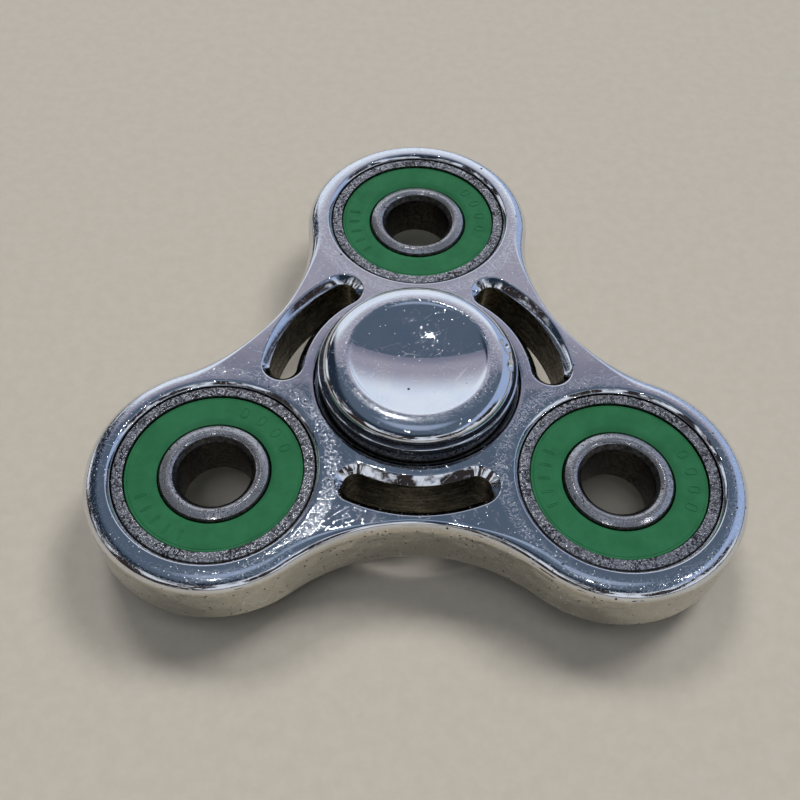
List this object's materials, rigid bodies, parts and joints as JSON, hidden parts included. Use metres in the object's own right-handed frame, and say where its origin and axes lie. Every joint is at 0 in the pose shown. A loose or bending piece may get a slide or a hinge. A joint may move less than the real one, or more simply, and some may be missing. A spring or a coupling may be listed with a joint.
{
  "type": "fidget spinner",
  "caption": "Palm-sized hand spinner: a lobed metal frame turns on a sealed ball bearing between two dished finger caps, with a sealed ball bearing in every lobe.",
  "frame": {"origin": "on the spin axis at mid thickness, halfway between the two caps", "axes": "+Z along the spin axis out of the top cap, +Y towards the first lobe, +X across the other two lobes"},
  "size_m": [0.0716, 0.0658, 0.016],
  "materials": {
    "chrome_frame": "bright plated, finely scratched",
    "chrome_cap": "bright plated, finely scratched",
    "bearing_steel": "ground, speckled with wear",
    "ball_steel": "polished",
    "cage_steel": "pressed",
    "seal_rubber": "matte moulded"
  },
  "bodies": {
    "hub": {"top_cap": "chrome_cap", "bottom_cap": "chrome_cap", "hub_inner_ring": "bearing_steel"},
    "spinner": {"frame": "chrome_frame", "hub_outer_ring": "bearing_steel", "hub_seal_top": "seal_rubber", "hub_seal_bottom": "seal_rubber", "lobe_a_outer_ring": "bearing_steel", "lobe_a_seal_top": "seal_rubber", "lobe_a_seal_bottom": "seal_rubber", "lobe_b_outer_ring": "bearing_steel", "lobe_b_seal_top": "seal_rubber", "lobe_b_seal_bottom": "seal_rubber", "lobe_c_outer_ring": "bearing_steel", "lobe_c_seal_top": "seal_rubber", "lobe_c_seal_bottom": "seal_rubber"},
    "hub_cage": {"hub_cage": "cage_steel", "hub_ball_1": "ball_steel", "hub_ball_2": "ball_steel", "hub_ball_3": "ball_steel", "hub_ball_4": "ball_steel", "hub_ball_5": "ball_steel", "hub_ball_6": "ball_steel", "hub_ball_7": "ball_steel"},
    "lobe_a_inner": {"lobe_a_inner_ring": "bearing_steel"},
    "lobe_a_cage": {"lobe_a_cage": "cage_steel", "lobe_a_ball_1": "ball_steel", "lobe_a_ball_2": "ball_steel", "lobe_a_ball_3": "ball_steel", "lobe_a_ball_4": "ball_steel", "lobe_a_ball_5": "ball_steel", "lobe_a_ball_6": "ball_steel", "lobe_a_ball_7": "ball_steel"},
    "lobe_b_inner": {"lobe_b_inner_ring": "bearing_steel"},
    "lobe_b_cage": {"lobe_b_cage": "cage_steel", "lobe_b_ball_1": "ball_steel", "lobe_b_ball_2": "ball_steel", "lobe_b_ball_3": "ball_steel", "lobe_b_ball_4": "ball_steel", "lobe_b_ball_5": "ball_steel", "lobe_b_ball_6": "ball_steel", "lobe_b_ball_7": "ball_steel"},
    "lobe_c_inner": {"lobe_c_inner_ring": "bearing_steel"},
    "lobe_c_cage": {"lobe_c_cage": "cage_steel", "lobe_c_ball_1": "ball_steel", "lobe_c_ball_2": "ball_steel", "lobe_c_ball_3": "ball_steel", "lobe_c_ball_4": "ball_steel", "lobe_c_ball_5": "ball_steel", "lobe_c_ball_6": "ball_steel", "lobe_c_ball_7": "ball_steel"}
  },
  "joints": [
    {"name": "spin", "type": "hinge", "parent": "hub", "child": "spinner", "pos_m": [0, 0, 0], "axis": [0, 0, 1], "continuous": true},
    {"name": "hub_cage_spin", "type": "hinge", "parent": "hub", "child": "hub_cage", "pos_m": [0, 0, 0], "axis": [0, 0, 1], "continuous": true},
    {"name": "lobe_a_spin", "type": "hinge", "parent": "spinner", "child": "lobe_a_inner", "pos_m": [0, 0.0252, 0], "axis": [0, 0, 1], "continuous": true},
    {"name": "lobe_a_cage_spin", "type": "hinge", "parent": "spinner", "child": "lobe_a_cage", "pos_m": [0, 0.0252, 0], "axis": [0, 0, 1], "continuous": true},
    {"name": "lobe_b_spin", "type": "hinge", "parent": "spinner", "child": "lobe_b_inner", "pos_m": [-0.02182, -0.0126, 0], "axis": [0, 0, 1], "continuous": true},
    {"name": "lobe_b_cage_spin", "type": "hinge", "parent": "spinner", "child": "lobe_b_cage", "pos_m": [-0.02182, -0.0126, 0], "axis": [0, 0, 1], "continuous": true},
    {"name": "lobe_c_spin", "type": "hinge", "parent": "spinner", "child": "lobe_c_inner", "pos_m": [0.02182, -0.0126, 0], "axis": [0, 0, 1], "continuous": true},
    {"name": "lobe_c_cage_spin", "type": "hinge", "parent": "spinner", "child": "lobe_c_cage", "pos_m": [0.02182, -0.0126, 0], "axis": [0, 0, 1], "continuous": true}
  ],
  "couplings": [
    {"joint": "hub_cage_spin", "follows": "spin", "ratio": 0.6323},
    {"joint": "lobe_a_cage_spin", "follows": "lobe_a_spin", "ratio": 0.3677},
    {"joint": "lobe_b_cage_spin", "follows": "lobe_b_spin", "ratio": 0.3677},
    {"joint": "lobe_c_cage_spin", "follows": "lobe_c_spin", "ratio": 0.3677}
  ]
}
